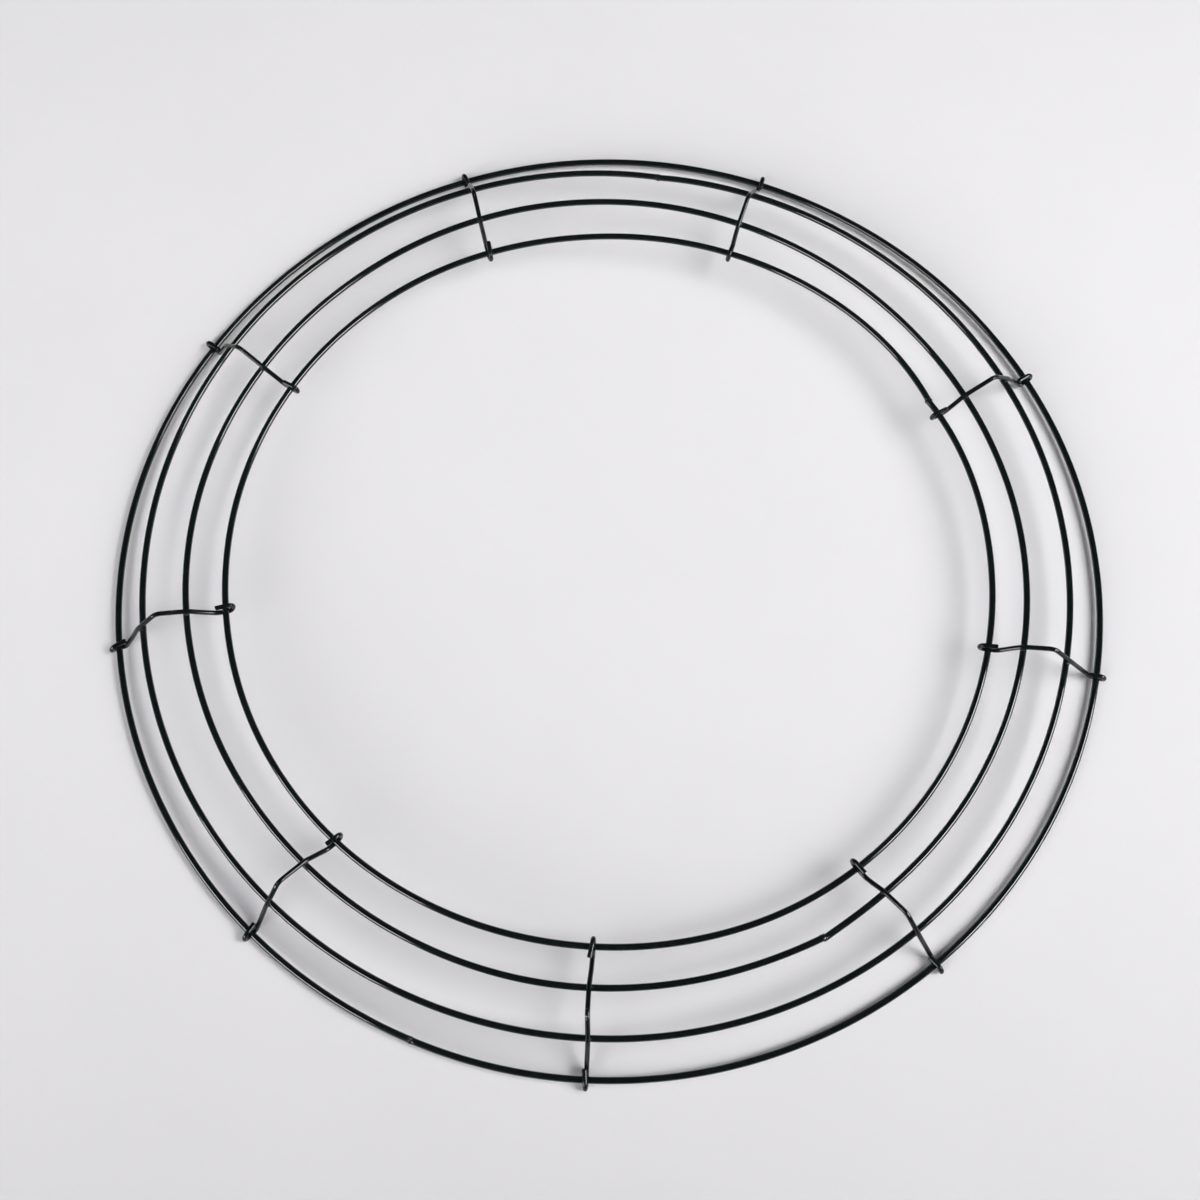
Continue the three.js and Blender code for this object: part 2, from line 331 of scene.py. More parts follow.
def points_at(points, wanted):
    """The points of a line at some distances along it, which are in rising order."""
    run = runs(points)
    found, i = [], 0
    for want in wanted:
        while i + 2 < len(run) and run[i + 1] < want:
            i += 1
        part = (want - run[i]) / max(run[i + 1] - run[i], 1e-12)
        found.append(points[i].lerp(points[i + 1], max(0.0, min(part, 1.0))))
    return found


def evenly(points, spacing):
    """The same line with its points an even distance apart."""
    whole = runs(points)[-1]
    count = max(2, round(whole / spacing))
    return points_at(points, [whole * k / count for k in range(count + 1)])


def eased(points, passes, weight=lambda i: 1.0):
    """The same line with its corners eased. The ends stay."""
    for _ in range(passes):
        moved = [p.copy() for p in points]
        for i in range(1, len(points) - 1):
            middle = (points[i - 1] + points[i + 1]) / 2
            moved[i] = points[i].lerp(middle, 0.5 * weight(i))
        points = moved
    return points


def smooth_step(low, high, value):
    """From nought at low to one at high, with no corners."""
    t = min(1.0, max(0.0, (value - low) / (high - low)))
    return t * t * (3 - 2 * t)


def mesh_from(build, name):
    """Turns what was built into a mesh."""
    mesh = bpy.data.meshes.new(name)
    build.to_mesh(mesh)
    build.free()
    return mesh


def new_piece(name, mesh, material):
    """Puts a mesh in the scene with its material, smooth shaded."""
    mesh.materials.append(material)
    mesh.shade_smooth()
    piece = bpy.data.objects.new(name, mesh)
    bpy.context.scene.collection.objects.link(piece)
    return piece


def stand_for(piece, node):
    """Hangs the piece on the root body and hides the model node that it stands for."""
    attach(piece, "root")
    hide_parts(node)


def first_normal(tangent):
    """A direction square to the wire to start its faces from."""
    side = Vector((0, 0, 1)) - tangent * tangent.z
    return side.normalized()


# A sheared end's edge, rounded by the coat: distance from the end and share of the thickness.
CUT_END = ((0.0, 0.55), (0.03, 0.74), (0.10, 0.88), (0.22, 0.965), (0.40, 1.015), (0.70, 1.03))
# The coat hangs thickest where that edge ends, and from the last distance here it thins out again.
THICK_FROM, THICK_TO = CUT_END[-1][0], 1.0
KEPT_CLEAR = 0.9 * MM           # within this of an end, the line has only the points of its edge
SHEAR_REACH = 1.4 * MM          # how far from an end the slant of its cut dies away


def thickness_near_end(near):
    """The share of a wire's thickness at a distance from its cut end, in millimetres."""
    for (d0, f0), (d1, f1) in zip(CUT_END, CUT_END[1:]):
        if d0 <= near <= d1:
            return f0 + (f1 - f0) * (near - d0) / (d1 - d0)
    thickest = CUT_END[-1][1]
    if near < THICK_TO:
        return thickest
    return 1.0 + (thickest - 1.0) * math.exp(-2 * (near - THICK_FROM))


def with_cut_ends(points, radius):
    """Adds the close points that a rounded cut end needs. Returns the line and its radii."""
    run = runs(points)
    whole = run[-1]
    wanted = sorted({d * MM for d, _ in CUT_END} | {whole - d * MM for d, _ in CUT_END}
                    | {r for r in run if KEPT_CLEAR < r < whole - KEPT_CLEAR})
    radii = [radius * thickness_near_end(min(r, whole - r) / MM) for r in wanted]
    return points_at(points, wanted), radii


def tube(name, points, radii, sides, shear=0.0, shape=None, marks=None):
    """A mesh tube along a line, closed at both ends.

    Shear tilts the two end faces. Shape moves a vertex, given its place along the line, its
    direction out of the wire and the place itself. Marks gives a value for each named vertex
    attribute from a place along the line.
    """
    directions = tangents(points)
    run = runs(points)
    normal = first_normal(directions[0])
    build = bmesh.new()
    loops, lines = [], []
    for i, (point, direction, radius) in enumerate(zip(points, directions, radii)):
        normal = (normal - direction * normal.dot(direction)).normalized()
        other = direction.cross(normal)
        near = min(run[i], run[-1] - run[i])
        tilt = shear * (1 - smooth_step(0.0, SHEAR_REACH, near))
        loop = []
        for k in range(sides):
            turn = 2 * math.pi * k / sides
            out = normal * math.cos(turn) + other * math.sin(turn)
            place = point + out * radius + direction * tilt * radius * math.cos(turn)
            if shape:
                place = shape(run[i], out, place)
            loop.append(build.verts.new(place))
            lines.append((run[i], turn))
        loops.append(loop)
    for a, b in zip(loops, loops[1:]):
        for k in range(sides):
            build.faces.new((a[k], a[(k + 1) % sides], b[(k + 1) % sides], b[k]))
    for loop, end in ((loops[0], 0), (loops[-1], -1)):
        middle = build.verts.new(sum((v.co for v in loop), Vector()) / sides)
        lines.append((run[end], 0.0))
        for k in range(sides):
            corners = (loop[(k + 1) % sides], loop[k], middle)
            build.faces.new(corners if end == 0 else corners[::-1])
    bmesh.ops.recalc_face_normals(build, faces=build.faces)
    mesh = mesh_from(build, name)
    along = mesh.attributes.new("wire_place", "FLOAT_VECTOR", "POINT")
    along.data.foreach_set(
        "vector", [c for r, t in lines for c in (r, math.cos(t) * MM, math.sin(t) * MM)])
    for mark, value in (marks or {}).items():
        layer = mesh.attributes.new(mark, "FLOAT", "POINT")
        layer.data.foreach_set("value", [value(r) for r, _ in lines])
    return mesh


# ---- coat ------------------------------------------------------------------------------------


class Nodes:
    """Places nodes in a tree and links them by socket name."""

    def __init__(self, tree):
        self.tree = tree
        tree.nodes.clear()

    def add(self, kind, **settings):
        node = self.tree.nodes.new(kind)
        for key, value in settings.items():
            setattr(node, key, value)
        return node

    def join(self, output, target):
        self.tree.links.new(output, target)

    def maths(self, operation, first, second):
        node = self.add("ShaderNodeMath", operation=operation)
        for socket, value in zip(node.inputs, (first, second)):
            if isinstance(value, bpy.types.NodeSocket):
                self.join(value, socket)
            else:
                socket.default_value = value
        return node.outputs[0]

    def blend(self, first, first_part, second, second_part):
        return self.maths("ADD", self.maths("MULTIPLY", first, first_part),
                          self.maths("MULTIPLY", second, second_part))

    def ramp(self, value, low, high):
        node = self.add("ShaderNodeMapRange", interpolation_type="SMOOTHSTEP")
        self.join(value, node.inputs["Value"])
        node.inputs["From Min"].default_value = low
        node.inputs["From Max"].default_value = high
        return node.outputs["Result"]

    def place(self):
        return self.add("ShaderNodeTexCoord").outputs["Object"]

    def noise(self, vector, scale, detail, roughness):
        node = self.add("ShaderNodeTexNoise")
        self.join(vector, node.inputs["Vector"])
        if isinstance(scale, bpy.types.NodeSocket):
            self.join(scale, node.inputs["Scale"])
        else:
            node.inputs["Scale"].default_value = scale
        node.inputs["Detail"].default_value = detail
        node.inputs["Roughness"].default_value = roughness
        return node.outputs["Fac"]

    def mix_colour(self, factor, first, second):
        node = self.add("ShaderNodeMix", data_type="RGBA")
        self.join(factor, node.inputs["Factor"])
        for key, value in (("A", first), ("B", second)):
            socket = next(s for s in node.inputs if s.name == key and s.type == "RGBA")
            if isinstance(value, bpy.types.NodeSocket):
                self.join(value, socket)
            else:
                socket.default_value = (*value, 1.0)
        return next(s for s in node.outputs if s.type == "RGBA")

    def bump(self, height, strength, distance):
        node = self.add("ShaderNodeBump")
        node.inputs["Strength"].default_value = strength
        node.inputs["Distance"].default_value = distance
        self.join(height, node.inputs["Height"])
        return node.outputs["Normal"]


def new_group(name, inputs, outputs):
    """An empty node group with its named sockets. Inputs carry their defaults."""
    tree = bpy.data.node_groups.new(name, "ShaderNodeTree")
    for label, kind, default in inputs:
        socket = tree.interface.new_socket(label, in_out="INPUT", socket_type=kind)
        socket.default_value = default
    for label, kind in outputs:
        tree.interface.new_socket(label, in_out="OUTPUT", socket_type=kind)
    nodes = Nodes(tree)
    return tree, nodes, nodes.add("NodeGroupInput"), nodes.add("NodeGroupOutput")


def coat_thickness_group():
    """Dipped coat that runs thick and thin: its colour, and how thin it is."""
    tree, nodes, given, out = new_group(
        "Coat thickness",
        [("Thick Colour", "NodeSocketColor", (0.005, 0.008, 0.008, 1.0)),
         ("Thin Colour", "NodeSocketColor", (0.015, 0.023, 0.021, 1.0)),
         ("Patch Scale", "NodeSocketFloat", 160.0),
         ("Amount", "NodeSocketFloat", 0.5)],
        [("Colour", "NodeSocketColor"), ("Thinness", "NodeSocketFloat")])
    place = nodes.place()
    patches = nodes.noise(place, given.outputs["Patch Scale"], detail=5.0, roughness=0.6)
    patches = nodes.ramp(patches, low=0.42, high=0.72)
    fine = nodes.ramp(nodes.noise(place, 1900.0, detail=3.0, roughness=0.55), low=0.40, high=0.70)
    both = nodes.blend(patches, 0.75, fine, 0.25)
    thin = nodes.maths("MULTIPLY", both, given.outputs["Amount"])
    nodes.join(nodes.mix_colour(thin, given.outputs["Thick Colour"],
                                given.outputs["Thin Colour"]), out.inputs["Colour"])
    nodes.join(thin, out.inputs["Thinness"])
    return tree


def coat_gloss_group():
    """Gloss that drifts over the coat, duller where it was handled: its roughness."""
    tree, nodes, given, out = new_group(
        "Coat gloss",
        [("Glossy", "NodeSocketFloat", 0.2),
         ("Dull", "NodeSocketFloat", 0.4),
         ("Thinness", "NodeSocketFloat", 0.0)],
        [("Roughness", "NodeSocketFloat")])
    place = nodes.place()
    drift = nodes.ramp(nodes.noise(place, 75.0, detail=4.0, roughness=0.6), low=0.35, high=0.70)
    specks = nodes.ramp(nodes.noise(place, 3200.0, detail=2.0, roughness=0.5), low=0.58, high=0.72)
    dull = nodes.blend(drift, 0.6, specks, 0.25)
    dull = nodes.maths("ADD", dull, nodes.maths("MULTIPLY", given.outputs["Thinness"], 0.4))
    span = nodes.maths("SUBTRACT", given.outputs["Dull"], given.outputs["Glossy"])
    rough = nodes.maths("ADD", given.outputs["Glossy"], nodes.maths("MULTIPLY", dull, span))
    nodes.join(rough, out.inputs["Roughness"])
    return tree


def coat_ripple_group():
    """Fine ripple and small nibs in the dried coat: a height."""
    tree, nodes, given, out = new_group(
        "Coat ripple",
        [("Ripple Scale", "NodeSocketFloat", 1100.0),
         ("Nibs", "NodeSocketFloat", 0.5)],
        [("Height", "NodeSocketFloat")])
    place = nodes.place()
    ripple = nodes.noise(place, given.outputs["Ripple Scale"], detail=2.0, roughness=0.45)
    swell = nodes.noise(place, 240.0, detail=2.0, roughness=0.5)
    nibs = nodes.ramp(nodes.noise(place, 2300.0, detail=1.0, roughness=0.4), low=0.66, high=0.78)
    height = nodes.blend(ripple, 0.45, swell, 0.9)
    nibs = nodes.maths("MULTIPLY", nibs, given.outputs["Nibs"])
    nodes.join(nodes.maths("ADD", height, nibs), out.inputs["Height"])
    return tree


def coat_rub_group():
    """Coat rubbed through in crumbs and specks: a mask that grows with the strain."""
    tree, nodes, given, out = new_group(
        "Coat rub",
        [("Strain", "NodeSocketFloat", 0.0),
         ("Amount", "NodeSocketFloat", 0.5)],
        [("Bare", "NodeSocketFloat")])
    place = nodes.place()
    crumbs = nodes.noise(place, 1500.0, detail=5.0, roughness=0.65)
    reach = nodes.maths("MULTIPLY", given.outputs["Strain"], given.outputs["Amount"])
    level = nodes.maths("ADD", crumbs, nodes.maths("MULTIPLY", reach, 0.30))
    nodes.join(nodes.ramp(level, low=0.74, high=0.80), out.inputs["Bare"])
    return tree


def group(name, make):
    """A shared node group, made the first time that it is asked for."""
    return bpy.data.node_groups.get(name) or make()


def new_material(name):
    """A material with nothing in it but its surface. Returns its nodes and the surface too."""
    material = bpy.data.materials.new(name)
    material.use_nodes = True
    nodes = Nodes(material.node_tree)
    out = nodes.add("ShaderNodeOutputMaterial")
    surface = nodes.add("ShaderNodeBsdfPrincipled")
    nodes.join(surface.outputs[0], out.inputs["Surface"])
    return material, nodes, surface


BARE_ROUGHNESS = 0.42           # of the steel where the coat is rubbed through
BARE_SUNK = 0.8                 # how far it lies under the coat, against the ripple's height
COAT_RELIEF = 0.03 * MM


def coat_material(name, thick, coat, settings):
    """Glossy dipped coat over steel wire.

    Settings hold the patch scale, how uneven the coat is, its glossy and dull roughness, how fine
    its ripple is, its index of refraction, and the vertex attributes that say where it is
    strained, each with its weight.
    """
    material = bpy.data.materials.get(name)
    if material:
        return material
    material, nodes, surface = new_material(name)

    thickness = nodes.add(
        "ShaderNodeGroup", node_tree=group("Coat thickness", coat_thickness_group))
    thickness.inputs["Thick Colour"].default_value = (*thick, 1.0)
    thickness.inputs["Thin Colour"].default_value = (*coat.thin, 1.0)
    thickness.inputs["Patch Scale"].default_value = settings["patches"]
    thickness.inputs["Amount"].default_value = settings["uneven"]

    strain = None
    for mark, weight in settings["strained"].items():
        read = nodes.add("ShaderNodeAttribute", attribute_name=mark).outputs["Fac"]
        part = nodes.maths("MULTIPLY", read, weight)
        strain = nodes.maths("ADD", strain, part) if strain else part
    rub = nodes.add("ShaderNodeGroup", node_tree=group("Coat rub", coat_rub_group))
    rub.inputs["Amount"].default_value = coat.rub
    nodes.join(strain, rub.inputs["Strain"])
    bare = rub.outputs["Bare"]
    nodes.join(nodes.mix_colour(bare, thickness.outputs["Colour"], coat.steel),
               surface.inputs["Base Color"])
    nodes.join(bare, surface.inputs["Metallic"])

    gloss = nodes.add("ShaderNodeGroup", node_tree=group("Coat gloss", coat_gloss_group))
    gloss.inputs["Glossy"].default_value = settings["glossy"]
    gloss.inputs["Dull"].default_value = settings["dull"]
    nodes.join(thickness.outputs["Thinness"], gloss.inputs["Thinness"])
    rough = nodes.maths("MAXIMUM", gloss.outputs["Roughness"],
                        nodes.maths("MULTIPLY", bare, BARE_ROUGHNESS))
    nodes.join(rough, surface.inputs["Roughness"])

    ripple = nodes.add("ShaderNodeGroup", node_tree=group("Coat ripple", coat_ripple_group))
    ripple.inputs["Ripple Scale"].default_value = settings["ripples"]
    height = nodes.maths("SUBTRACT", ripple.outputs["Height"],
                         nodes.maths("MULTIPLY", bare, BARE_SUNK))
    nodes.join(nodes.bump(height, coat.ripple, COAT_RELIEF), surface.inputs["Normal"])
    surface.inputs["IOR"].default_value = settings["ior"]
    return material


def ring_coat(coat):
    """Coat on the rings: the smoothest of the three."""
    return coat_material("ring_coat", coat.ring, coat, {
        "patches": 130.0, "uneven": 0.35, "glossy": 0.05, "dull": 0.14, "ripples": 900.0, "ior": 1.5,
        "strained": {"joint": 0.8}})


def cross_coat(coat):
    """Coat on the cross wires: thinner, and strained at the bends, the ends and the marks."""
    return coat_material("cross_coat", coat.cross, coat, {
        "patches": 210.0, "uneven": 0.60, "glossy": 0.055, "dull": 0.15, "ripples": 1300.0,
        "ior": 1.4, "strained": {"bend": 0.35, "cut": 0.8, "press": 1.3}})


def weld_coat(coat):
    """Coat pooled over the rough metal of a weld."""
    return coat_material("weld_coat", coat.weld, coat, {
        "patches": 420.0, "uneven": 0.55, "glossy": 0.07, "dull": 0.24, "ripples": 1700.0, "ior": 1.45,
        "strained": {"proud": 0.8}})


# ---- pieces ----------------------------------------------------------------------------------


RING_STEPS = 900
COAT_BUILD = 0.012              # how unevenly the coat builds up on a ring, as a share of it
BUILD_LUMPS = 90                # of that unevenness in each metre


def ring_mesh(name, wires):
    """One ring, from one side of its joint right round to the other."""
    joint = RING_JOINT_ANGLES[name]
    radius = MODEL_RINGS[name]["radius"]
    gap = JOINT_GAP / radius
    sweep = 2 * math.pi - 2 * gap
    points = []
    for step in range(RING_STEPS + 1):
        turned = gap + sweep * step / RING_STEPS
        along = (turned if turned < math.pi else turned - 2 * math.pi) * radius
        angle = joint + turned
        point = ring_point(name, angle, wires)
        out = Vector((math.cos(angle), math.sin(angle), 0))
        points.append(point + out * across_joint(name, along))
    whole = runs(points)[-1]
    thick = wires.ring_wire / 2

    seed = Vector((0, 0, RINGS.index(name) * 9))
    radii = [thick * (1 + COAT_BUILD * noise.noise(p * BUILD_LUMPS + seed)) for p in points]

    def near_joint(run):
        return math.exp(-min(run, whole - run) / WELD_HEAT)

    return tube(f"ring_{name}_wire", points, radii, wires.sides + 4, marks={"joint": near_joint})


# Shares of a butt weld's bead length: half the whole piece, its broad bulge and its sharp ridge.
BEAD_HALF, BULGE_REACH, RIDGE_REACH = 1.45, 0.42, 0.12
BULGE_SHARE = 0.62              # how much of the swell is the bulge's, and the ridge has the rest
BEAD_STEPS = 44
ENDS_STEP = 0.5 * MM            # how quickly one ring end gives way to the other
SUNK_FROM = 0.75                # from this share of its half on, the piece sinks into the ring
SUNK_DEPTH = 0.12 * MM
SNIP_HEIGHT = 0.05 * MM         # how high over the ring's wire the flash was snipped
SNIPPED_AWAY = 0.85             # the share of it that went


def joint_mesh(name, wires, welds):
    """The bead squeezed out where a ring's ends were pressed together, partly snipped off."""
    joint = RING_JOINT_ANGLES[name]
    radius = MODEL_RINGS[name]["radius"]
    fit = RING_JOINTS[name]
    half = BEAD_HALF * welds.bead
    out_from_axis = Vector((math.cos(joint), math.sin(joint), 0))
    points, radii = [], []
    thick = wires.ring_wire / 2
    for step in range(BEAD_STEPS + 1):
        along = half * (2 * step / BEAD_STEPS - 1)
        aside = fit["aside"] * MM / 2 * math.tanh(along / ENDS_STEP)
        points.append(ring_point(name, joint + along / radius, wires) + out_from_axis * aside)
        bulge = math.exp(-((along / (BULGE_REACH * welds.bead)) ** 2))
        ridge = math.exp(-((along / (RIDGE_REACH * welds.bead)) ** 2))
        swell = fit["swell"] * MM * (BULGE_SHARE * bulge + (1 - BULGE_SHARE) * ridge)
        sunk = SUNK_DEPTH * smooth_step(SUNK_FROM * half, half, abs(along))
        radii.append(thick + swell - sunk)

    along_ring = Vector((-math.sin(joint), math.cos(joint), 0))
    middle = ring_point(name, joint, wires)
    snips = []
    for turn in fit["snipped"]:
        turn = math.radians(turn)
        snips.append(out_from_axis * math.cos(turn) + Vector((0, 0, math.sin(turn))))

    def snipped(run, out, place):
        lump = noise.noise(place * 1400 + Vector((0, 0, 3.7)))
        fade = 1 - smooth_step(0.6, 1.0, abs(run / half - 1))
        place = place + out * welds.lumps * 1.5 * lump * fade
        offset = place - middle
        offset -= along_ring * offset.dot(along_ring)
        for snip in snips:
            over = offset.dot(snip) - (thick + SNIP_HEIGHT)
            if over > 0:
                place = place - snip * over * SNIPPED_AWAY
        return place

    def proud(run):
        return math.exp(-(((run - half) / (0.5 * welds.bead)) ** 2))

    return tube(f"ring_{name}_butt_weld", points, radii, wires.sides + 8, shape=snipped,
                marks={"proud": proud})


PEG_STEP = math.radians(6)      # between the points of a bend


def sideways(heading):
    """The direction a quarter turn to the left of a heading."""
    return Vector((-math.sin(heading), math.cos(heading)))


def straight_between(peg, following):
    """The heading of the straight from one peg to the next."""
    step = following["at"] - peg["at"]
    swing = following["turn"] * following["radius"] - peg["turn"] * peg["radius"]
    return math.atan2(step.y, step.x) - math.asin(swing / step.length)


def round_peg(peg, reach, leave):
    """Points round one peg, with how far round each is."""
    turned = ((leave - reach) * peg["turn"]) % (2 * math.pi)
    steps = max(3, math.ceil(turned / PEG_STEP))
    found = []
    for step in range(steps + 1):
        heading = reach + peg["turn"] * turned * step / steps
        found.append((peg["at"] - sideways(heading) * peg["turn"] * peg["radius"], step / steps))
    return found


def cross_wire_pegs(angle, bent, wires):
    """What a cross wire is bent round, in the upright plane at an angle round the frame."""
    at = {name: Vector(ring_at(name, angle, wires)) for name in RINGS}
    seat = (wires.ring_wire + wires.cross_wire) / 2
    pressed = seat - wires.set_down
    return [
        {"at": at["outer"] + Vector((bent["outer"]["slack"] * MM, 0)), "radius": seat,
         "turn": -1},
        {"at": at["outer"] + Vector((-wires.foot, wires.knee - seat)), "radius": wires.knee,
         "turn": -1},
        {"at": at["second"], "radius": pressed, "turn": 1},
        {"at": at["second"] + Vector((-wires.shoulder_in, wires.crown - wires.shoulder)),
         "radius": wires.shoulder, "turn": 1},
        {"at": at["third"], "radius": pressed, "turn": 1},
        {"at": at["inner"] + Vector((wires.sag_out, wires.sag - seat)), "radius": wires.sag,
         "turn": -1},
        {"at": at["inner"] + Vector((-bent["inner"]["slack"] * MM, 0)), "radius": seat,
         "turn": -1},
    ]


def peg_headings(pegs, bent):
    """The wire's headings before, between and after its pegs."""
    between = [straight_between(a, b) for a, b in zip(pegs, pegs[1:])]
    lifts = [math.radians(bent[end]["lift"]) for end in ("outer", "inner")]
    return [-lifts[0], *between, lifts[1]]


def looped(bend, heading, end):
    """A loop's points and its straight tail, with how far each lies to the side.

    The bend runs from the wire to the tail. Up to the loop's far point the side grows to its tip,
    and from there it runs straight to the cut end.
    """
    last = bend[-1][0]
    ahead = Vector((math.cos(heading), math.sin(heading)))
    points = [at for at, _ in bend] + [last + ahead * (end["tail"] + end["slack"]) * MM]
    tip = max(range(len(points)), key=lambda i: abs(points[i].x - points[-1].x))
    found = []
    for i, at in enumerate(points):
        if i <= tip:
            part = abs(at.x - points[0].x) / abs(points[tip].x - points[0].x)
            side = end["tip"] * part * part
        else:
            part = (at.x - points[tip].x) / (points[-1].x - points[tip].x)
            side = end["tip"] + (end["end"] - end["tip"]) * part
        found.append((at, side))
    return found


def cross_wire_line(name, wires):
    """A cross wire's line from its outer to its inner end, and how far out its shoulder is."""
    foot, inside = model_station(name)
    number = CROSS_WIRES.index(name)
    bent = BENT[number % len(BENT)]
    pegs = cross_wire_pegs(foot, bent, wires)
    headings = peg_headings(pegs, bent)
    bends = [round_peg(p, a, b) for p, a, b in zip(pegs, headings, headings[1:])]
    flat = [looped(bends[0][::-1], headings[0] + math.pi, bent["outer"])]
    flat[0].reverse()
    flat += [[(at, 0.0) for at, _ in bend] for bend in bends[1:-1]]
    flat.append(looped(bends[-1], headings[-1], bent["inner"]))

    reach, low, high, hem, inner = (pegs[i]["at"].x for i in (1, 2, 3, 4, 6))
    skew = (inside - foot) / (reach - inner)
    turn = Matrix.Rotation(foot, 3, "Z")
    points = []
    for at, side in sum(flat, []):
        aside = at.x * math.sin(skew * max(0.0, reach - at.x))
        side += bent["lean"] * smooth_step(low, high, at.x) * smooth_step(inner, hem, at.x)
        side += bent["foot"] * smooth_step(low, reach, at.x)
        side += bent["bow"] * math.sin(math.pi * min(1.0, max(0.0, (at.x - low) / (reach - low))))
        points.append(Vector((at.x, aside + side * MM, at.y)))
    points = evenly(points, LINE_STEP)

    def free(i):
        from_foot = smooth_step(*FREE_FROM_FOOT, reach - points[i].x)
        return from_foot * smooth_step(*FREE_FROM_INNER_HOOK, points[i].x - inner)

    points = eased(points, EASING)
    points = eased(points, EASING, lambda i: 0.7 * free(i))

    def drift(x, row):
        return noise.noise(Vector((x * DRIFT_QUICKNESS, number * 5.3, row)))

    wandered = []
    for i, point in enumerate(points):
        off = Vector((0, drift(point.x, 0.5), drift(point.x, 9.5)))
        wandered.append(point + off * wires.wander * CROSS_DRIFT * free(i))
    return [turn @ p for p in wandered], high


def strain_marks(points, shoulder):
    """Where a cross wire's coat is strained, and where the bending tool pressed it."""
    run = runs(points)
    directions = tangents(points)
    bends = []
    for i in range(len(points)):
        a, b = max(i - BEND_WINDOW, 0), min(i + BEND_WINDOW, len(points) - 1)
        turned = directions[a].angle(directions[b], 0.0)
        bends.append(min(1.0, turned / max(run[b] - run[a], 1e-9) * TIGHT_BEND))
    high = [i for i in range(len(points)) if points[i].z > SHOULDER_ABOVE]
    top = min(high, key=lambda i: abs(points[i].xy.length - shoulder))
    pressed = [run[top] + mark for mark in TOOL_MARKS]

    def bend(place):
        return bends[min(range(len(run)), key=lambda i: abs(run[i] - place))]

    def cut(place):
        return math.exp(-min(place, run[-1] - place) / CUT_REACH)

    def press(place):
        return max(math.exp(-(((place - p) / TOOL_MARK_REACH) ** 2)) for p in pressed)

    return {"bend": bend, "cut": cut, "press": press}


def cross_wire_mesh(name, wires):
    """One cross wire, with its sheared ends, its bends and the tool's press marks."""
    line, shoulder = cross_wire_line(name, wires)
    points, radii = with_cut_ends(line, wires.cross_wire / 2)
    marks = strain_marks(points, shoulder)
    seed = Vector((0, 0, CROSS_WIRES.index(name) * 11.0))
    radii = [r * (1 + 0.014 * noise.noise(p * 260 + seed)) for p, r in zip(points, radii)]

    def pressed(run, out, place):
        facing = smooth_step(0.35, 0.95, out.z)
        return place - out * wires.press_depth * marks["press"](run) * facing

    return tube(f"{name}_bent", points, radii, wires.sides, shear=0.22, shape=pressed,
                marks=marks)


def crossing(name, number, wires):
    """Where a cross wire is welded over a ring.

    Returns the ring's own point, the directions of the ring, of the cross wire and out of the ring
    towards the wire, and how far apart the two wires' middles are.
    """
    line, _ = cross_wire_line(CROSS_WIRES[number], wires)

    def away(i):
        radius, height = ring_at(name, azimuth([line[i]]), wires)
        return math.hypot(line[i].xy.length - radius, line[i].z - height)

    nearest = min(range(len(line)), key=away)
    at = line[nearest]
    angle = azimuth([at])
    centre = ring_point(name, angle, wires)
    along_ring = Vector((-math.sin(angle), math.cos(angle), 0))
    along_wire = tangents(line)[nearest]
    out = (at - centre) - along_ring * (at - centre).dot(along_ring)
    apart = out.length
    out.normalize()
    along_wire = (along_wire - out * along_wire.dot(out)).normalized()
    return centre, along_ring, along_wire, out, apart


# A collar's upper edge lies on the cross wire, and its lower edge on the ring. These are the shares
# of each wire's half thickness that the edges take up across it, and of both at the neck between.
COLLAR_TOP, COLLAR_LOW, COLLAR_NECK = 0.90, 0.86, 0.97
COLLAR_UNEVEN = 0.22            # how much a collar's reach varies round it
COLLAR_LOOPS, COLLAR_ARC = 48, 9
EDGE_TUCK = 0.25 * MM           # how deep the edges run on inside the wires
MIDDLE_TUCK = 0.3 * MM


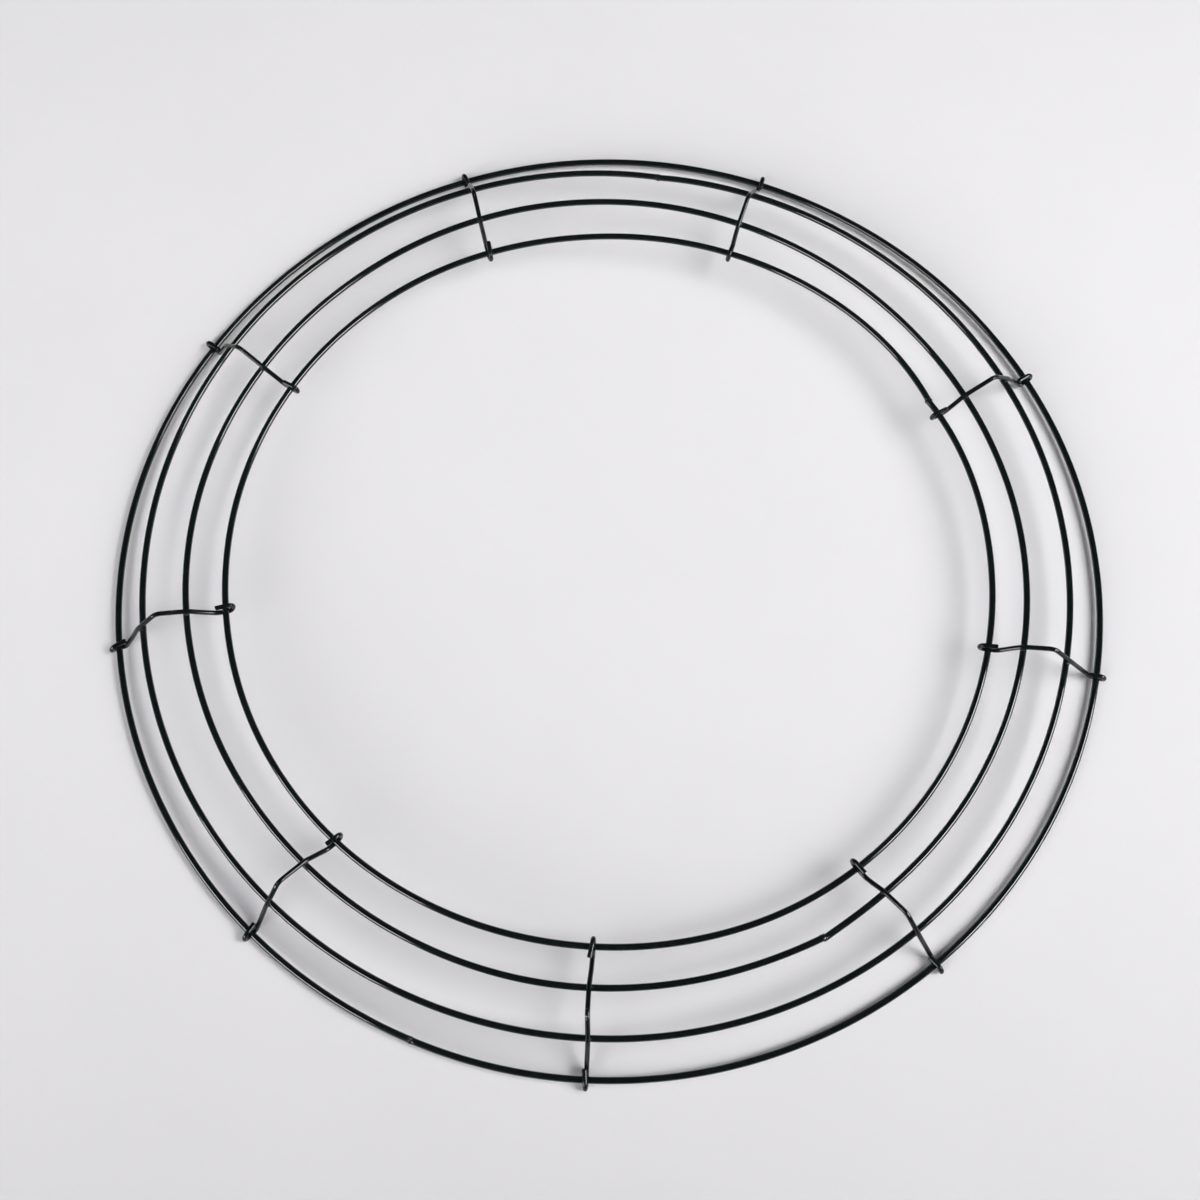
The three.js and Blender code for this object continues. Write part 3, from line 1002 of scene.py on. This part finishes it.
def crossing_weld_mesh(name, number, wires, welds):
    """The collar of squeezed metal and pooled coat between a cross wire and the ring under it."""
    centre, along_ring, along_wire, out, apart = crossing(name, number, wires)
    ring, wire = wires.ring_wire / 2, wires.cross_wire / 2
    seed = Vector((number * 3.1, RINGS.index(name) * 7.7, 0.0))
    contact = (ring + apart - wire) / 2
    build = bmesh.new()
    proud = []

    def put(u, v, w, value):
        proud.append(value)
        return build.verts.new(centre + along_ring * u + along_wire * v + out * w)

    rows = []
    for k in range(COLLAR_LOOPS):
        turn = 2 * math.pi * k / COLLAR_LOOPS
        c, s = math.cos(turn), math.sin(turn)
        uneven = 1 + COLLAR_UNEVEN * noise.noise(Vector((c, s, 0.0)) * 1.3 + seed)
        top_u, top_v = COLLAR_TOP * wire * c, welds.collar_cross * uneven * s
        low_u, low_v = welds.collar_ring * uneven * c, COLLAR_LOW * ring * s
        top = Vector((top_u, top_v, apart - math.sqrt(wire ** 2 - top_u ** 2)))
        low = Vector((low_u, low_v, math.sqrt(ring ** 2 - low_v ** 2)))
        neck = Vector((top_u * COLLAR_NECK, low_v * COLLAR_NECK, contact))
        row = [put(top.x * 0.7, top.y * 0.8, top.z + EDGE_TUCK, 0.0)]
        for step in range(COLLAR_ARC + 1):
            t = step / COLLAR_ARC
            p = top * (1 - t) ** 2 + neck * (2 * t * (1 - t)) + low * t ** 2
            lump = noise.noise((p / MM) * 1.5 + seed * 2.0)
            swell = math.sin(math.pi * t)
            p += Vector((c, s, 0)) * welds.lumps * (0.5 + 1.6 * lump) * swell
            row.append(put(p.x, p.y, p.z, max(0.0, lump) * swell))
        row.append(put(low.x * 0.8, low.y * 0.7, low.z - EDGE_TUCK, 0.0))
        rows.append(row)
    cap = put(0.0, 0.0, apart - wire + MIDDLE_TUCK, 0.0)
    base = put(0.0, 0.0, ring - MIDDLE_TUCK, 0.0)
    for here, there in zip(rows, rows[1:] + rows[:1]):
        for j in range(len(here) - 1):
            build.faces.new((here[j], there[j], there[j + 1], here[j + 1]))
        build.faces.new((cap, there[0], here[0]))
        build.faces.new((base, here[-1], there[-1]))
    bmesh.ops.recalc_face_normals(build, faces=build.faces)
    mesh = mesh_from(build, f"crossing_weld_{name}_{number + 1}")
    mesh.attributes.new("proud", "FLOAT", "POINT").data.foreach_set("value", proud)
    return mesh


# ---- operators -------------------------------------------------------------------------------


class WREATH_OT_rings(bpy.types.Operator):
    """Make the four ring wires"""

    bl_idname = "wreath.rings"
    bl_label = "Make Ring Wires"

    def execute(self, context):
        wires, coat = context.scene.wreath_wires, context.scene.wreath_coat
        for name in RINGS:
            mesh = ring_mesh(name, wires)
            piece = new_piece(f"ring_{name}_wire", mesh, ring_coat(coat))
            stand_for(piece, f"ring_{name}")
        return {"FINISHED"}


class WREATH_OT_ring_joints(bpy.types.Operator):
    """Make the butt welds that close the rings"""

    bl_idname = "wreath.ring_joints"
    bl_label = "Make Ring Butt Welds"

    def execute(self, context):
        scene = context.scene
        for name in RINGS:
            mesh = joint_mesh(name, scene.wreath_wires, scene.wreath_welds)
            piece = new_piece(f"ring_{name}_butt_weld", mesh, weld_coat(scene.wreath_coat))
            stand_for(piece, f"ring_joint_{name}")
        return {"FINISHED"}


class WREATH_OT_cross_wires(bpy.types.Operator):
    """Make the bent cross wires"""

    bl_idname = "wreath.cross_wires"
    bl_label = "Make Cross Wires"

    def execute(self, context):
        wires, coat = context.scene.wreath_wires, context.scene.wreath_coat
        if not CROSS_WIRES:
            raise RuntimeError("the packed model holds no cross wires")
        for name in CROSS_WIRES:
            piece = new_piece(f"{name}_bent", cross_wire_mesh(name, wires), cross_coat(coat))
            stand_for(piece, name)
        return {"FINISHED"}


class WREATH_OT_crossing_welds(bpy.types.Operator):
    """Make the welds where the cross wires lie on the two middle rings"""

    bl_idname = "wreath.crossing_welds"
    bl_label = "Make Crossing Welds"

    def execute(self, context):
        scene = context.scene
        for name in WELDED_RINGS:
            for number in range(len(CROSS_WIRES)):
                mesh = crossing_weld_mesh(name, number, scene.wreath_wires, scene.wreath_welds)
                piece = new_piece(mesh.name, mesh, weld_coat(scene.wreath_coat))
                stand_for(piece, f"weld_{name}_{number + 1}")
        return {"FINISHED"}


def floor_material(shade):
    """Matt pale board, a little uneven."""
    material, nodes, surface = new_material("studio_board")
    place = nodes.place()
    cloud = nodes.ramp(nodes.noise(place, 9.0, detail=4.0, roughness=0.6), low=0.3, high=0.7)
    dark = tuple(c * 0.985 for c in shade)
    nodes.join(nodes.mix_colour(cloud, dark, tuple(shade)), surface.inputs["Base Color"])
    grain = nodes.noise(place, 1400.0, detail=2.0, roughness=0.5)
    nodes.join(nodes.bump(grain, 0.2, 0.05 * MM), surface.inputs["Normal"])
    surface.inputs["Roughness"].default_value = 0.75
    surface.inputs["Specular IOR Level"].default_value = 0.2
    return material


FLOOR_HALF = 5.0                # half the floor's width, in metres

# Where each lamp stands, what it points at and its two sides, in metres, and how many degrees wide
# its light spreads. Power names its setting. The softboxes and the overhead light are for what is
# matt, and the strips are seen only as lines of light on the coat.
SOFTBOX, STRIP, BROAD = (1.5, 1.3), (1.1, 0.5), (3.0, 3.0)
MIDDLE = (0.0, 0.0, 0.0)
LAMPS = {
    "left_softbox": {"place": (-1.34, -1.0, 0.89), "aim": (-0.7, 0.95, 0.0), "size": SOFTBOX,
                     "power": "left", "spread": 86, "glint": False},
    "right_softbox": {"place": (1.35, -0.2, 1.4), "aim": (0.44, 0.09, 0.0), "size": SOFTBOX,
                      "power": "right", "spread": 61, "glint": False},
    "left_strip": {"place": (-1.3, -1.0, 0.62), "aim": MIDDLE, "size": STRIP,
                   "power": "left_glint", "spread": 180, "glint": True},
    "right_strip": {"place": (1.55, -0.32, 0.92), "aim": MIDDLE, "size": STRIP,
                    "power": "right_glint", "spread": 180, "glint": True},
    "overhead_light": {"place": (0.2, 0.6, 2.6), "aim": MIDDLE, "size": BROAD,
                       "power": "overhead", "spread": 180, "glint": False},
}

LENS, SENSOR = 56.23, 36.0      # in millimetres
CAMERA_PLACE = (-0.00345, -0.3176, 0.8155)
CAMERA_BACK = Vector((0.0, -0.3537, 0.9354))    # from what it looks at towards the camera
CAMERA_ROLL = math.radians(1.936)


def add_lamp(name, lamp, watts):
    """A rectangular soft lamp with a grid that holds its light in.

    A glint lamp only shows in glossy surfaces, and the others only light the matt ones.
    """
    light = bpy.data.lights.new(name, "AREA")
    light.shape = "RECTANGLE"
    light.size, light.size_y = lamp["size"]
    light.energy = watts
    light.spread = math.radians(lamp["spread"])
    placed = bpy.data.objects.new(name, light)
    bpy.context.scene.collection.objects.link(placed)
    placed.location = lamp["place"]
    placed.rotation_mode = "QUATERNION"
    ahead = Vector(lamp["aim"]) - Vector(lamp["place"])
    placed.rotation_quaternion = ahead.to_track_quat("-Z", "Y")
    placed.visible_camera = False
    placed.visible_glossy = lamp["glint"]
    placed.visible_diffuse = not lamp["glint"]


class WREATH_OT_studio(bpy.types.Operator):
    """Make the floor, the lamps and the camera"""

    bl_idname = "wreath.studio"
    bl_label = "Make Studio"

    def execute(self, context):
        scene, studio = context.scene, context.scene.wreath_studio
        build = bmesh.new()
        bmesh.ops.create_grid(build, x_segments=8, y_segments=8, size=FLOOR_HALF)
        board = floor_material(studio.floor)
        new_piece("studio_floor", mesh_from(build, "studio_floor"), board)

        for name, lamp in LAMPS.items():
            add_lamp(name, lamp, getattr(studio, lamp["power"]))

        world = bpy.data.worlds.new("studio_room")
        world.use_nodes = True
        world.node_tree.nodes["Background"].inputs["Color"].default_value = (*studio.surround, 1)
        scene.world = world
        scene.view_settings.view_transform = "Standard"

        lens = bpy.data.cameras.new("camera")
        lens.lens = LENS
        lens.sensor_width = SENSOR
        camera = bpy.data.objects.new("camera", lens)
        scene.collection.objects.link(camera)
        right, up = Vector((1, 0, 0)), Vector((0, CAMERA_BACK.z, -CAMERA_BACK.y))
        across = right * math.cos(CAMERA_ROLL) + up * math.sin(CAMERA_ROLL)
        upward = up * math.cos(CAMERA_ROLL) - right * math.sin(CAMERA_ROLL)
        turn = Matrix((across, upward, CAMERA_BACK)).transposed()
        camera.matrix_world = Matrix.Translation(CAMERA_PLACE) @ turn.to_4x4()
        scene.camera = camera
        return {"FINISHED"}


class WREATH_PT_frame(bpy.types.Panel):
    """Wreath frame settings"""

    bl_idname = "WREATH_PT_frame"
    bl_label = "Wreath Frame"
    bl_space_type = "VIEW_3D"
    bl_region_type = "UI"
    bl_category = "Wreath"

    def draw(self, context):
        layout, scene = self.layout, context.scene
        parts = (
            ("Rings", scene.wreath_wires, ("ring_wire",), WREATH_OT_rings),
            ("Ring joints", scene.wreath_welds, ("bead", "lumps"), WREATH_OT_ring_joints),
            ("Cross wires", scene.wreath_wires,
             ("cross_wire", "foot", "knee", "crown", "shoulder", "shoulder_in", "sag", "sag_out",
              "press_depth", "wander", "sides"), WREATH_OT_cross_wires),
            ("Crossing welds", scene.wreath_welds, ("collar_ring", "collar_cross"),
             WREATH_OT_crossing_welds),
            ("Coat", scene.wreath_coat,
             ("ring", "cross", "weld", "thin", "steel", "rub", "ripple"), None),
            ("Studio", scene.wreath_studio,
             ("floor", "surround", "left", "right", "left_glint", "right_glint", "overhead"),
             WREATH_OT_studio),
        )
        for title, values, names, operator in parts:
            box = layout.box()
            box.label(text=title)
            for name in names:
                box.prop(values, name)
            if operator:
                box.operator(operator.bl_idname)


OPERATORS = (
    WREATH_OT_rings,
    WREATH_OT_ring_joints,
    WREATH_OT_cross_wires,
    WREATH_OT_crossing_welds,
    WREATH_OT_studio,
)
SETTINGS = {
    "wreath_wires": WreathWireSizes,
    "wreath_welds": WreathWeldSizes,
    "wreath_coat": WreathCoat,
    "wreath_studio": WreathStudio,
}
CLASSES = (*SETTINGS.values(), *OPERATORS, WREATH_PT_frame)


def register():
    for cls in CLASSES:
        bpy.utils.register_class(cls)
    for name, cls in SETTINGS.items():
        setattr(bpy.types.Scene, name, bpy.props.PointerProperty(type=cls))


def unregister():
    for name in SETTINGS:
        delattr(bpy.types.Scene, name)
    for cls in reversed(CLASSES):
        bpy.utils.unregister_class(cls)


def main():
    register()
    for operator in OPERATORS:
        group_name, name = operator.bl_idname.split(".")
        getattr(getattr(bpy.ops, group_name), name)()


if __name__ == "__main__":
    main()
